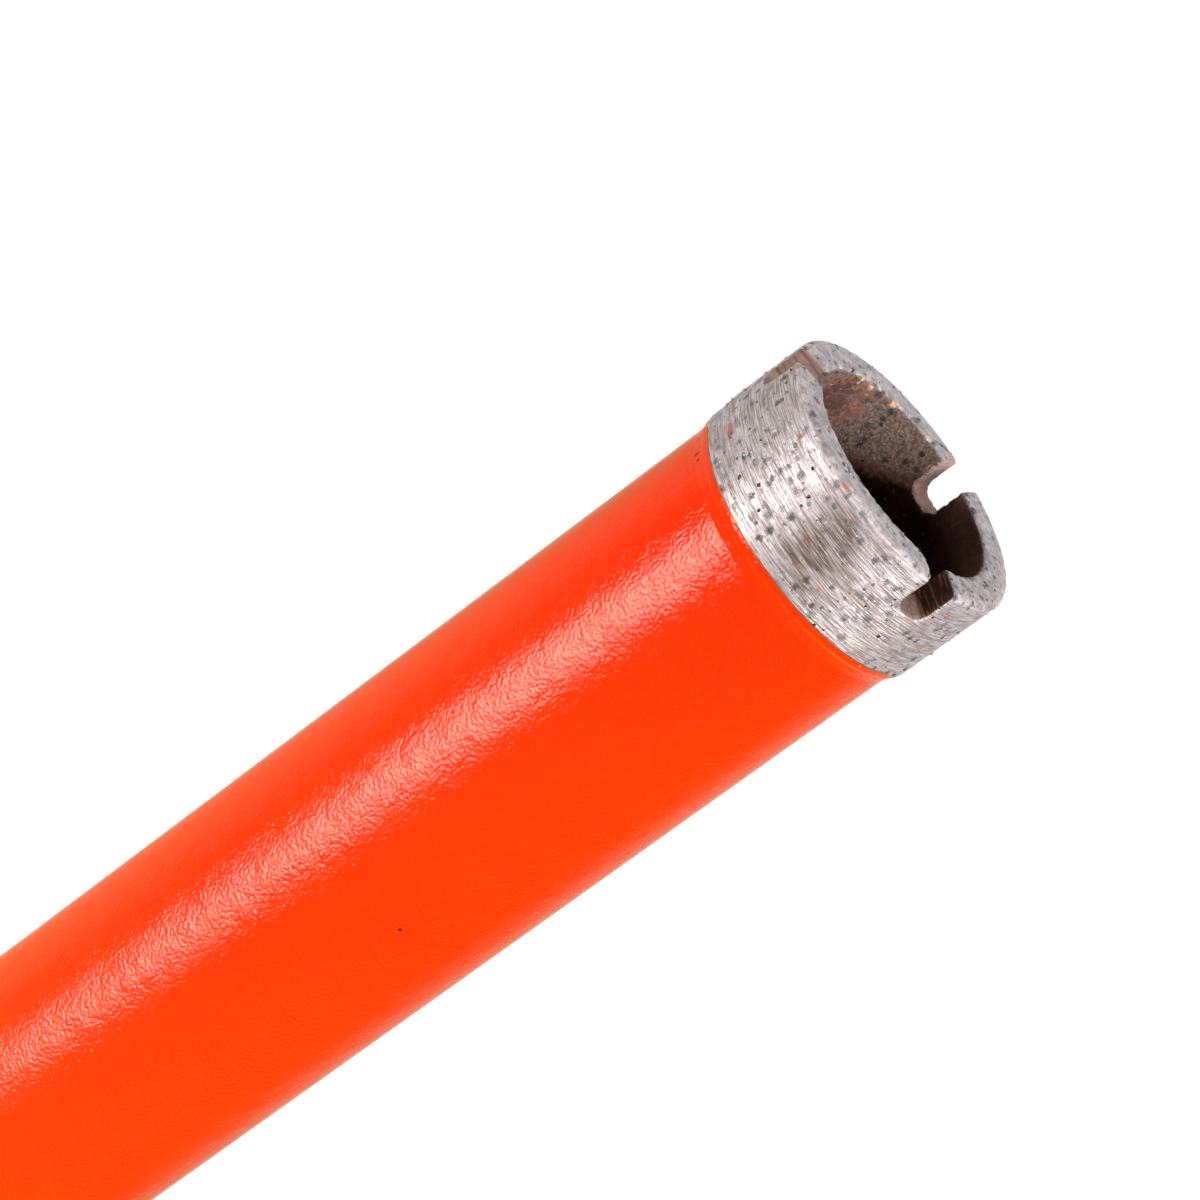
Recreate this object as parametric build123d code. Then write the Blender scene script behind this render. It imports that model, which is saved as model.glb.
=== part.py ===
"""Wet diamond core bit for drilling concrete: a sintered ring crown on a steel barrel,
with a threaded hub.  Millimetres.  The bit stands on its hub, +Z runs along the axis
towards the cutting face, and the origin is the centre of the hub's end face.
"""
import math
import os

from build123d import *

# ---- Driving dimensions -------------------------------------------------------------

# Crown: one sintered ring that carries the diamond
crown_diameter = 28.0        # hole size that the bit drills
crown_wall = 3.3             # kerf
crown_height = 11.5
rim_bevel = 0.3              # both edges of the cutting face are broken by this much
foot_bevel_depth = 0.4       # the outer foot is drawn in by this much
foot_bevel_height = 1.0      # over this height
foot_knee = 0.3              # share of the height that takes most of the depth

# Water slots cut down from the cutting face
slot_count = 3
slot_width = 3.2
slot_depth = 4.15
slot_corner_radius = 1.2
slot_floor_land = 0.02       # least flat that the corners leave on a slot's floor

# Barrel: plain steel tube
crown_overhang = 0.57        # crown stands proud of the barrel, all round
barrel_wall = 2.0
working_length = 400.0       # from the hub's collar to the cutting face

# Braze between crown and barrel
braze_film = 0.12
braze_cove_height = 1.3      # fillet down the outside of the barrel
braze_cove_lip = 0.17        # how far the fillet swells outwards under the crown
braze_bead_height = 0.6      # small fillet inside, under the crown's inner step
braze_bead_setback = 0.25    # it stops this far short of the crown's bore
fillet_fullness = 0.3        # of both, at mid height: 0.5 would be a straight slope

# Hub: 1 1/4"-7 UNC female connection
thread_major_diameter = 31.75
thread_pitch = 25.4 / 7
minor_diameter_factor = 1.0825  # pitches between major and minor diameter, 60 degrees
thread_depth = 27.0
mouth_clearance = 0.6        # mouth chamfer opens this much past the major diameter
relief_clearance = 0.3       # run-out groove, radially past the thread's root
relief_length = 4.0
hex_wall = 4.625             # flat to thread root
hex_height = 23.0
hex_bevel_angle = 30.0
hex_bevel_land = 0.4         # the bevel starts this far inside the flats
shoulder_drop = 0.6          # turned shoulder stands in from the flats
shoulder_height = 10.0
web_thickness = 5.0          # floor between thread chamber and barrel
seat_lip = 2.4               # ledge under the barrel's end
socket_depth = 9.0
socket_clearance = 0.05      # radial
collar_wall = 3.2            # around the barrel socket
collar_height = 3.0
collar_chamfer = 0.5

# Weld between hub and barrel
weld_leg = 2.2
weld_crown = 0.45            # how far the bead bulges past a straight fillet

# ---- Sizes that follow --------------------------------------------------------------

crown_radius = crown_diameter / 2
crown_bore_radius = crown_radius - crown_wall
barrel_radius = crown_radius - crown_overhang
barrel_bore_radius = barrel_radius - barrel_wall

thread_minor_radius = (thread_major_diameter - minor_diameter_factor * thread_pitch) / 2
mouth_radius = thread_major_diameter / 2 + mouth_clearance
relief_radius = thread_major_diameter / 2 + relief_clearance
hex_across_flats = thread_major_diameter + 2 * hex_wall
shoulder_radius = hex_across_flats / 2 - shoulder_drop
passage_radius = barrel_bore_radius - seat_lip
socket_radius = barrel_radius + socket_clearance
collar_radius = socket_radius + collar_wall

seat_z = thread_depth + relief_length + web_thickness
hub_height = seat_z + socket_depth
overall_length = hub_height + working_length
crown_base_z = overall_length - crown_height
barrel_top_z = crown_base_z - braze_film


def turned(*edges):
    """Spin a closed outline about Z. It is drawn flat: radius across, height up."""
    section = Plane.XZ * make_face(Wire(edges))
    return revolve(section, Axis.Z)


def turned_outline(*points):
    """The same for an outline of straight runs between (radius, height) points."""
    return turned(*Polyline(*points, close=True).edges())


# ---- Crown --------------------------------------------------------------------------

def crown_ring():
    """The plain ring: outer foot drawn in by two bevels, both rim edges broken."""
    foot_radius = crown_radius - foot_bevel_depth
    knee_radius = crown_radius - foot_knee * foot_bevel_depth
    knee_z = crown_base_z + foot_knee * foot_bevel_height
    rim_z = overall_length - rim_bevel
    return turned_outline(
        (crown_bore_radius, crown_base_z),
        (foot_radius, crown_base_z),
        (knee_radius, knee_z),
        (crown_radius, crown_base_z + foot_bevel_height),
        (crown_radius, rim_z),
        (crown_radius - rim_bevel, overall_length),
        (crown_bore_radius + rim_bevel, overall_length),
        (crown_bore_radius, rim_z),
    )


def slot_cutter():
    """One U-shaped water slot, open at the cutting face, pointing along +X."""
    top_z = overall_length + rim_bevel
    height = slot_depth + rim_bevel
    largest_corner = slot_width / 2 - slot_floor_land
    corner = min(slot_corner_radius, largest_corner)
    profile = Rectangle(slot_width, height)
    floor_corners = profile.vertices().sort_by(Axis.Y)[:2]
    profile = fillet(floor_corners, corner)
    lift = Pos(0, 0, top_z - height / 2)
    return lift * extrude(Plane.YZ * profile, crown_diameter)


def build_crown():
    cutter = slot_cutter()
    ring = crown_ring()
    for index in range(slot_count):
        ring -= Rot(0, 0, 360 * index / slot_count) * cutter
    return ring


# ---- Barrel, braze and weld ---------------------------------------------------------

def build_barrel():
    return turned_outline(
        (barrel_bore_radius, seat_z),
        (barrel_radius, seat_z),
        (barrel_radius, barrel_top_z),
        (barrel_bore_radius, barrel_top_z),
    )


def fillet_middle(foot, lip):
    """Middle of a hollow fillet, halfway up from its foot on the wall to its lip."""
    radius = foot[0] + fillet_fullness * (lip[0] - foot[0])
    return radius, (foot[1] + lip[1]) / 2


def build_braze_ring():
    """Film between barrel and crown, with a cove outside and a small bead inside."""
    cove_foot = (barrel_radius, barrel_top_z - braze_cove_height)
    cove_lip = (barrel_radius + braze_cove_lip, crown_base_z)
    bead_lip = (crown_bore_radius + braze_bead_setback, crown_base_z)
    bead_foot = (barrel_bore_radius, barrel_top_z - braze_bead_height)
    return turned_outline(
        cove_foot,
        fillet_middle(cove_foot, cove_lip),
        cove_lip,
        bead_lip,
        fillet_middle(bead_foot, bead_lip),
        bead_foot,
        (barrel_bore_radius, barrel_top_z),
        (barrel_radius, barrel_top_z),
    )


def build_weld_bead():
    """Ring of weld in the corner between the hub's collar and the barrel."""
    bulge = weld_leg / 2 + weld_crown * math.sqrt(0.5)
    root = (barrel_radius, hub_height)
    toe = (barrel_radius + weld_leg, hub_height)
    middle = (barrel_radius + bulge, hub_height + bulge)
    head = (barrel_radius, hub_height + weld_leg)
    return turned(ThreePointArc(toe, middle, head), Line(head, root), Line(root, toe))


# ---- Hub ----------------------------------------------------------------------------

def hex_blank():
    """Hexagon for the spanner, with both ends bevelled as a lathe leaves them."""
    corner_radius = hex_across_flats / math.sqrt(3)
    land_radius = hex_across_flats / 2 - hex_bevel_land
    bevel = (corner_radius - land_radius) * math.tan(math.radians(hex_bevel_angle))
    prism = extrude(RegularPolygon(corner_radius, 6), hex_height)
    envelope = turned_outline(
        (0, 0),
        (land_radius, 0),
        (corner_radius, bevel),
        (corner_radius, hex_height - bevel),
        (land_radius, hex_height),
        (0, hex_height),
    )
    return prism & envelope


def turned_shoulder():
    """Round shoulder over the thread's end, then a cone down to the barrel's collar."""
    mid_hex_z = hex_height / 2
    return turned_outline(
        (0, mid_hex_z),
        (shoulder_radius, mid_hex_z),
        (shoulder_radius, hex_height + shoulder_height),
        (collar_radius, hub_height - collar_height),
        (collar_radius, hub_height - collar_chamfer),
        (collar_radius - collar_chamfer, hub_height),
        (0, hub_height),
    )


def hub_bore():
    """Thread chamber, run-out groove, water passage and barrel socket in one outline."""
    mouth_depth = mouth_radius - thread_minor_radius
    chamber_top_z = thread_depth + relief_length
    return turned_outline(
        (0, 0),
        (mouth_radius, 0),
        (thread_minor_radius, mouth_depth),
        (thread_minor_radius, thread_depth),
        (relief_radius, thread_depth),
        (relief_radius, chamber_top_z),
        (passage_radius, chamber_top_z),
        (passage_radius, seat_z),
        (socket_radius, seat_z),
        (socket_radius, hub_height),
        (0, hub_height),
    )


def build_hub():
    return (hex_blank() + turned_shoulder()) - hub_bore()


# ---- Write each piece ---------------------------------------------------------------

pieces = {
    "crown": build_crown(),
    "braze_ring": build_braze_ring(),
    "barrel": build_barrel(),
    "weld_bead": build_weld_bead(),
    "hub": build_hub(),
}

os.makedirs("parts", exist_ok=True)
for node, piece in pieces.items():
    piece.label = node
    export_step(piece, f"parts/{node}.step")
    print(f"{node}: volume {piece.volume:.0f} mm3")
print(f"overall length {overall_length:.1f} mm")
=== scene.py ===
# %% [markdown]
# # A diamond core bit and its finishes
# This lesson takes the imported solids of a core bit, which a workshop already trusts for size, and
# gives them the surfaces that a real one has: ground metal full of diamond grit, a line of braze,
# orange enamel with a slight orange peel, a welded hub with a real thread inside.
# The first step only loads the solids. Everything that follows is in metres and in their frame,
# so nothing is ever fitted by eye: a piece is made where the solids say it is.

# %% Load the solids
import math

import bmesh
import bpy
import numpy as np
from mathutils import Matrix, Vector, noise


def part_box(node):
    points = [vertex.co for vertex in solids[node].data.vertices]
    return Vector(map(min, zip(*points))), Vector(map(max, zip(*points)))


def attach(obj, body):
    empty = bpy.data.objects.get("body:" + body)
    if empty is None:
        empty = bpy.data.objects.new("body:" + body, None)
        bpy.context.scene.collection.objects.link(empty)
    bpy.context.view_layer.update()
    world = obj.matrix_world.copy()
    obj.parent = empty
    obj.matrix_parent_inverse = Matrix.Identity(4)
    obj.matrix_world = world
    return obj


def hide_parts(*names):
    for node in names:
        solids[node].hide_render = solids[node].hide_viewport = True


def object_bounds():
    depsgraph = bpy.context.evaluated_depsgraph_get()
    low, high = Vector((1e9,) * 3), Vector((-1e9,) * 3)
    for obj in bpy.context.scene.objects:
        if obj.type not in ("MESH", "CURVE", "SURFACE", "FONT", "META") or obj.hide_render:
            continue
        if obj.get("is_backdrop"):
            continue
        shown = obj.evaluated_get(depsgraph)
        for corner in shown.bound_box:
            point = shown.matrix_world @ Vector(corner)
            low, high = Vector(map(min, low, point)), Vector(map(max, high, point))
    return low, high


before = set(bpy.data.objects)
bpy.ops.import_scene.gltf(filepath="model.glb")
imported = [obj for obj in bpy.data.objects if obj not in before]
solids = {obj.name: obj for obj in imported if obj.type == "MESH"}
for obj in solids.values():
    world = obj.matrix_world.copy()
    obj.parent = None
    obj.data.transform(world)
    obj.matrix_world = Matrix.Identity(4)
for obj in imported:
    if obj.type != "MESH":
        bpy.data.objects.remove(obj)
solid_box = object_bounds()
mm = 0.001
print("solids:", ", ".join(sorted(solids)))

# %% [markdown]
# ## Sizes that the pieces share
# Each piece could be given its own numbers, but a bit is a stack of rings on one axis, and a ring
# that is changed alone leaves a gap. So the few heights and radii that neighbours share are read
# from the boxes of the solids, and the rest are driving values with a name.

# %% Sizes from the solids
crown_low, crown_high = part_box("crown")
barrel_low, barrel_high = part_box("barrel")
weld_low, weld_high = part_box("weld_bead")
face_height = crown_high.z
foot_height = crown_low.z
crown_radius = crown_high.x
barrel_radius = barrel_high.x
seat_height = barrel_low.z
barrel_top = barrel_high.z
hub_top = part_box("hub")[1].z
crown_wall = 3.3 * mm
barrel_wall = 2.0 * mm
crown_bore_radius = crown_radius - crown_wall
barrel_bore_radius = barrel_radius - barrel_wall
print(f"crown {2000 * crown_radius:.1f} mm across, face at {1000 * face_height:.1f} mm")

# %% [markdown]
# ## The camera
# The bit is seen with a long lens from beside its cutting end, looking a little down into the
# bore, with the tool lying across the frame from lower left to upper right. A camera can be aimed
# with a constraint, but a constraint can't lean the frame over. Building its matrix from three
# directions can: forward to the aim point, then up, turned by the lean.

# %% Place the camera
camera_place = Vector((285.833, -283.492, 578.000)) * mm
camera_aim = Vector((-4.690, -4.891, 415.141)) * mm
camera_lean = math.radians(-53.468)
lens_length = 147.678


def camera_matrix(place, aim, lean):
    """A camera at place that looks at aim, with its up leaning over by lean, positive to the right."""
    forward = (aim - place).normalized()
    level = forward.cross(Vector((0, 0, 1))).normalized()
    upright = level.cross(forward)
    up = upright * math.cos(lean) + level * math.sin(lean)
    right = forward.cross(up)
    turn = Matrix((right, up, -forward)).transposed()
    return Matrix.Translation(place) @ turn.to_4x4()


camera_data = bpy.data.cameras.new("long_lens")
camera_data.lens = lens_length
camera_data.sensor_width = 36
camera_data.clip_start = 0.01
camera = bpy.data.objects.new("long_lens", camera_data)
camera.matrix_world = camera_matrix(camera_place, camera_aim, camera_lean)
bpy.context.collection.objects.link(camera)
bpy.context.scene.camera = camera
bpy.context.scene.view_settings.view_transform = "Standard"
camera_side = math.atan2(camera_place.y, camera_place.x)
print(f"camera {1000 * (camera_place - camera_aim).length:.0f} mm from its aim point")

# %% [markdown]
# ## Helpers for shader nodes
# A material is a graph, and wiring it by hand takes three lines for each node. A small helper that
# makes a node, sets its plain values and plugs in its links keeps each material readable, and the
# helpers after it only give a short name to the nodes that come back most. Values that are the same
# all over a surface are set on the sockets of the shader, so that an export can read them.

# %% Node helpers


def add_node(tree, kind, settings=None, inputs=None):
    """One node of a tree, with its settings and its input values or links."""
    node = tree.nodes.new(kind)
    for name, value in (settings or {}).items():
        setattr(node, name, value)
    for name, value in (inputs or {}).items():
        if isinstance(value, bpy.types.NodeSocket):
            tree.links.new(value, node.inputs[name])
        else:
            node.inputs[name].default_value = value
    return node


def calc(tree, operation, first, second):
    """The result of one Math node."""
    return add_node(tree, "ShaderNodeMath", {"operation": operation}, {0: first, 1: second}).outputs[0]


def times(tree, first, second):
    """The product of two values."""
    return calc(tree, "MULTIPLY", first, second)


def plus(tree, first, second):
    """The sum of two values."""
    return calc(tree, "ADD", first, second)


def larger(tree, first, second):
    """The larger of two values."""
    return calc(tree, "MAXIMUM", first, second)


def rest_of(tree, share):
    """What a share leaves of 1."""
    return calc(tree, "SUBTRACT", 1.0, share)


def vector_calc(tree, operation, first, second):
    """The vector that a Vector Math node gives. SCALE takes one number as its second value."""
    inputs = {0: first, "Scale" if operation == "SCALE" else 1: second}
    return add_node(tree, "ShaderNodeVectorMath", {"operation": operation}, inputs).outputs[0]


def step_between(tree, value, low, high, to_low=0.0, to_high=1.0):
    """A soft step of value, from to_low at low to to_high at high."""
    inputs = {0: value, 1: low, 2: high, 3: to_low, 4: to_high}
    return add_node(tree, "ShaderNodeMapRange", {"interpolation_type": "SMOOTHSTEP"}, inputs).outputs[0]


def noise_at(tree, place, scale, detail=2.0, roughness=0.5, stretch=None):
    """Plain noise read at a place, which is stretched first where a stretch is given."""
    if stretch is not None:
        place = vector_calc(tree, "MULTIPLY", place, stretch)
    inputs = {"Vector": place, "Scale": scale, "Detail": detail, "Roughness": roughness}
    return add_node(tree, "ShaderNodeTexNoise", None, inputs).outputs["Fac"]


def colour(red, green, blue):
    """A colour with a full alpha, as a socket wants it."""
    return (red, green, blue, 1.0)


def blend_colour(tree, share, under, over):
    """Two colours, or two links, blended by a share."""
    return add_node(tree, "ShaderNodeMix", {"data_type": "RGBA"}, {0: share, 6: under, 7: over}).outputs[2]


def tinted(tree, under, over, source, low, high, most=1.0):
    """A colour with another over it, from none where source is at low to most where it is at high."""
    return blend_colour(tree, step_between(tree, source, low, high, 0.0, most), under, over)


def new_group(name, inputs, outputs, tree_kind="ShaderNodeTree"):
    """An empty node group with named inputs, each a kind and a value or None, and named outputs."""
    group = bpy.data.node_groups.new(name, tree_kind)
    for label, (kind, value) in inputs.items():
        socket = group.interface.new_socket(name=label, in_out="INPUT", socket_type="NodeSocket" + kind)
        if value is not None:
            socket.default_value = value
    for label, kind in outputs.items():
        group.interface.new_socket(name=label, in_out="OUTPUT", socket_type="NodeSocket" + kind)
    return group, group.nodes.new("NodeGroupInput").outputs, group.nodes.new("NodeGroupOutput").inputs


def use_group(tree, group, inputs):
    """A group placed in a material with its own values. Returns its outputs."""
    return add_node(tree, "ShaderNodeGroup", {"node_tree": group}, inputs).outputs


def add_bump(tree, shader, height, distance, strength=1.0):
    """A relief, at most distance deep, that turns the surface's normal."""
    inputs = {"Strength": strength, "Distance": distance, "Height": height}
    bump = add_node(tree, "ShaderNodeBump", None, inputs)
    tree.links.new(bump.outputs[0], shader.inputs["Normal"])


def mask(tree, name):
    """A mask that the mesh carries for each of its points."""
    return add_node(tree, "ShaderNodeAttribute", {"attribute_name": name}).outputs["Fac"]


def empty_material(name):
    """A material whose node tree is empty."""
    material = bpy.data.materials.new(name)
    material.use_nodes = True
    material.node_tree.nodes.clear()
    return material, material.node_tree


def new_material(name):
    """A material with its Principled shader, and the object's own coordinates to read it at."""
    material, tree = empty_material(name)
    shader = tree.nodes.new("ShaderNodeBsdfPrincipled")
    add_node(tree, "ShaderNodeOutputMaterial", None, {0: shader.outputs[0]})
    place = tree.nodes.new("ShaderNodeTexCoord").outputs["Object"]
    return material, tree, shader, place


print("node helpers ready")

# %% [markdown]
# ## Effect: marks from the lathe and the grinder
# Ground and turned metal has fine grooves that run round the axis. Scratches could be painted and
# wrapped round, but that needs a seam and a UV map. Noise in space needs neither: the two flat
# directions are read at a low scale, so a mark runs a long way round, and height plus radius is
# read at a high scale, so marks lie close together, on the round side and on a flat face alike.

# %% Group: turning marks
turning_marks, given, out = new_group(
    "turning_marks",
    {
        "Place": ("Vector", None),
        "Run": ("Float", 250.0),
        "Closeness": ("Float", 5000.0),
        "Depth": ("Float", 2.0),
    },
    {"Height": "Float", "Patches": "Float"},
)
split = add_node(turning_marks, "ShaderNodeSeparateXYZ", None, {0: given["Place"]}).outputs
flat = add_node(turning_marks, "ShaderNodeCombineXYZ", None, {0: split[0], 1: split[1]}).outputs[0]
reach = add_node(turning_marks, "ShaderNodeVectorMath", {"operation": "LENGTH"}, {0: flat}).outputs["Value"]
along = plus(turning_marks, split[2], reach)
sides = {
    0: times(turning_marks, split[0], given["Run"]),
    1: times(turning_marks, split[1], given["Run"]),
    2: times(turning_marks, along, given["Closeness"]),
}
stretched = add_node(turning_marks, "ShaderNodeCombineXYZ", None, sides).outputs[0]
fine = noise_at(turning_marks, stretched, 1.0, given["Depth"], roughness=0.6)
broad = noise_at(turning_marks, stretched, 1.0, stretch=(0.6, 0.6, 0.16))
turning_marks.links.new(fine, out["Height"])
turning_marks.links.new(broad, out["Patches"])


def marks_at(tree, place, run, closeness, depth=2.0):
    """Turning marks in a material: how long they run, how close they lie, and how fine they go."""
    values = {"Place": place, "Run": run, "Closeness": closeness, "Depth": depth}
    return use_group(tree, turning_marks, values)


print("group:", turning_marks.name)

# %% [markdown]
# ## Effect: specks held in a solid
# Sintered metal is a mix of powders and diamonds, and a cut through it shows specks of every size,
# because each one is cut at another height. Spots drawn on a surface look stamped. Cells in space
# give the right spread: each cell holds one ball, or none, and the surface slices through them.

# %% Group: held specks
held_specks, given, out = new_group(
    "held_specks",
    {
        "Place": ("Vector", None),
        "Cells per metre": ("Float", 1200.0),
        "Share": ("Float", 0.3),
        "Size": ("Float", 0.3),
        "Ragged": ("Float", 0.15),
    },
    {"Mask": "Float", "Tone": "Float"},
)
wander_inputs = {"Vector": given["Place"], "Scale": 5200.0, "Detail": 1.0}
wander = add_node(held_specks, "ShaderNodeTexNoise", None, wander_inputs).outputs["Color"]
centred = vector_calc(held_specks, "SUBTRACT", wander, (0.5, 0.5, 0.5))
scaled = vector_calc(held_specks, "SCALE", given["Place"], given["Cells per metre"])
moved = vector_calc(held_specks, "SCALE", centred, given["Ragged"])
cell_inputs = {"Vector": vector_calc(held_specks, "ADD", scaled, moved), "Scale": 1.0}
cells = add_node(held_specks, "ShaderNodeTexVoronoi", {"feature": "F1"}, cell_inputs).outputs
lots = add_node(held_specks, "ShaderNodeSeparateColor", None, {0: cells["Color"]}).outputs
chosen = calc(held_specks, "LESS_THAN", lots[0], given["Share"])
edge = times(held_specks, given["Size"], step_between(held_specks, lots[1], 0.0, 1.0, 0.55, 1.0))
inside = step_between(held_specks, cells["Distance"], edge, times(held_specks, edge, 0.3))
held_specks.links.new(times(held_specks, inside, chosen), out["Mask"])
held_specks.links.new(lots[2], out["Tone"])


def specks_at(tree, place, cells, share, size, ragged):
    """Specks in a material: cells to a metre, the share of them that hold one, its size and its edge."""
    values = {"Place": place, "Cells per metre": cells, "Share": share, "Size": size, "Ragged": ragged}
    return use_group(tree, held_specks, values)


print("group:", held_specks.name)

# %% [markdown]
# ## Finish: sintered metal
# The crown is metal powder and diamonds, pressed and baked, then ground true on its outside and
# its end. One flat grey would look like plastic. The crown's mesh carries a mask for each way the
# metal was left: ground round the outside, dressed on the end, raw in the bore, sawn in the slots.
# The material reads those masks and gives each its own colour, roughness and marks.
# Some masks paint light into the colour: shade in the bore, a dark reflection on the side facing the camera,
# and a few glints on the bore's rim.

# %% Sintered metal: what it reads
sintered_metal, tree, shader, place = new_material("sintered_metal")
ground = mask(tree, "ground")
bore_raw = mask(tree, "bore")
sawn = mask(tree, "sawn")
sawn_pale = mask(tree, "sawn_pale")
rust = mask(tree, "rust")
splash = mask(tree, "splash")
# Painted shade of the bore: dark on its unlit side and deeper in.
shade = mask(tree, "shade")
depth_in = mask(tree, "depth")
# Painted dark reflection, on the ground side that faces the camera.
stain_and_dark_reflection = mask(tree, "stain_and_dark_reflection")
# Painted highlights on the bore's rim.
painted_glint = mask(tree, "painted_glint")
marks = marks_at(tree, place, run=430.0, closeness=6800.0, depth=3.0)
long_marks = marks_at(tree, place, run=170.0, closeness=8800.0)
saw_marks = noise_at(tree, place, 1.0, 3.0, stretch=(300.0, 300.0, 4000.0))
grain = noise_at(tree, place, 3600.0, 3.0)
cloud = noise_at(tree, place, 620.0, 3.0)
coarse_grain = noise_at(tree, place, 1900.0, 4.0)
specks = specks_at(tree, place, cells=900.0, share=0.54, size=0.58, ragged=0.5)
fine_specks = specks_at(tree, place, cells=1700.0, share=0.34, size=0.40, ragged=0.6)
copper = specks_at(tree, place, cells=620.0, share=0.035, size=0.2, ragged=0.5)
painted_pit_shade = specks_at(tree, place, cells=950.0, share=0.72, size=0.52, ragged=0.5)
sparkle = step_between(tree, noise_at(tree, place, 5200.0, 1.0), 0.60, 0.68)
print("sintered metal reads its masks")

# %% Sintered metal: the colour of each place
long_streaks = step_between(tree, long_marks["Height"], 0.30, 0.58, 0.62, 1.0)
streaks = times(tree, step_between(tree, marks["Height"], 0.30, 0.66), long_streaks)
ground_colour = blend_colour(tree, streaks, colour(0.33, 0.254, 0.240), colour(0.94, 0.825, 0.818))
ground_colour = tinted(tree, ground_colour, colour(0.34, 0.28, 0.27), grain, 0.50, 0.66, 0.35)
patchy = step_between(tree, marks["Patches"], 0.50, 0.66, 0.0, 0.5)
patchy = times(tree, patchy, step_between(tree, cloud, 0.35, 0.6))
ground_colour = blend_colour(tree, patchy, ground_colour, colour(0.27, 0.21, 0.165))
# Painted dark reflection: the ground goes brown where it faces the camera, broken up by the marks.
dark_reflection_share = times(tree, stain_and_dark_reflection, step_between(tree, marks["Height"], 0.62, 0.38, 0.25, 1.0))
ground_colour = blend_colour(tree, dark_reflection_share, ground_colour, colour(0.20, 0.13, 0.095))

dressed_colour = colour(0.62, 0.55, 0.555)
dressed_colour = tinted(tree, dressed_colour, colour(0.28, 0.25, 0.255), coarse_grain, 0.35, 0.68, 0.75)
dressed_colour = tinted(tree, dressed_colour, colour(0.33, 0.335, 0.36), cloud, 0.46, 0.62, 0.6)

raw_colour = tinted(tree, colour(0.125, 0.074, 0.054), colour(0.29, 0.182, 0.140), grain, 0.36, 0.66)
raw_colour = tinted(tree, raw_colour, colour(0.10, 0.052, 0.036), coarse_grain, 0.50, 0.66, 0.6)
raw_colour = tinted(tree, raw_colour, colour(0.21, 0.085, 0.05), cloud, 0.55, 0.66, 0.5)
raw_colour = blend_colour(tree, times(tree, sparkle, 0.4), raw_colour, colour(0.55, 0.37, 0.28))
# Painted shade of small pits in the bore; the relief has no pits.
raw_colour = blend_colour(tree, times(tree, painted_pit_shade["Mask"], 0.95), raw_colour, colour(0.012, 0.010, 0.008))
# Painted shade in the bore: darker deeper in and near black on its unlit side, red-brown at the shadow's
# edge.
painted_deep_shade = tinted(tree, colour(0.105, 0.050, 0.034), colour(0.012, 0.003, 0.003), depth_in, 0.10, 0.42)
painted_deep_shade = tinted(tree, painted_deep_shade, colour(0.045, 0.015, 0.010), cloud, 0.40, 0.62, 0.45)
bore_colour_with_painted_shade = tinted(tree, raw_colour, colour(0.15, 0.058, 0.036), shade, 0.02, 0.30)
bore_colour_with_painted_shade = tinted(tree, bore_colour_with_painted_shade, painted_deep_shade, shade, 0.25, 0.95)

sawn_light = tinted(tree, colour(0.60, 0.385, 0.325), colour(0.51, 0.37, 0.315), cloud, 0.38, 0.62)
sawn_light = tinted(tree, sawn_light, colour(0.20, 0.11, 0.085), saw_marks, 0.50, 0.66, 0.35)
sawn_dark = tinted(tree, colour(0.055, 0.016, 0.009), colour(0.27, 0.125, 0.08), saw_marks, 0.50, 0.62)
sawn_colour = blend_colour(tree, sawn_pale, sawn_dark, sawn_light)
saw_shade = times(tree, step_between(tree, saw_marks, 0.40, 0.55, 0.65, 0.0), rest_of(tree, sawn_pale))
sawn_colour = blend_colour(tree, saw_shade, sawn_colour, colour(0.06, 0.028, 0.020))
sawn_colour = tinted(tree, sawn_colour, colour(0.15, 0.09, 0.065), grain, 0.52, 0.68, 0.45)

whole = blend_colour(tree, ground, dressed_colour, ground_colour)
whole = blend_colour(tree, bore_raw, whole, bore_colour_with_painted_shade)
whole = blend_colour(tree, sawn, whole, sawn_colour)
print("sintered metal has a colour for each place")

# %% Sintered metal: rust, splashes, specks and painted glints
rust_share = times(tree, rust, step_between(tree, cloud, 0.25, 0.50, 0.35, 0.95))
rust_colour = tinted(tree, colour(0.105, 0.040, 0.034), colour(0.40, 0.105, 0.045), rust, 0.9, 0.35)
rust_colour = tinted(tree, rust_colour, colour(0.42, 0.17, 0.10), coarse_grain, 0.55, 0.68, 0.7)
whole = blend_colour(tree, rust_share, whole, rust_colour)
splashed = times(tree, splash, step_between(tree, grain, 0.25, 0.5))
splashed = larger(tree, splashed, times(tree, copper["Mask"], 0.8))
whole = blend_colour(tree, splashed, whole, colour(0.52, 0.15, 0.07))
speck_colour = tinted(
    tree, colour(0.050, 0.046, 0.032), colour(0.185, 0.192, 0.215), specks["Tone"], 0.15, 0.45
)
speck_colour = tinted(tree, speck_colour, colour(0.045, 0.045, 0.042), specks["Mask"], 0.5, 0.9, 0.75)
speck_share = times(tree, specks["Mask"], step_between(tree, specks["Tone"], 0.15, 0.7, 0.9, 0.68))
speck_share = times(tree, speck_share, rest_of(tree, larger(tree, bore_raw, sawn)))
whole = blend_colour(tree, speck_share, whole, speck_colour)
whole = blend_colour(tree, times(tree, fine_specks["Mask"], 0.5), whole, colour(0.10, 0.10, 0.105))
# Painted highlights: pale copper glints on the bore's rim.
whole = blend_colour(tree, painted_glint, whole, colour(0.80, 0.42, 0.28))
tree.links.new(whole, shader.inputs["Base Color"])
print("sintered metal is rusted, splashed and specked")

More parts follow.
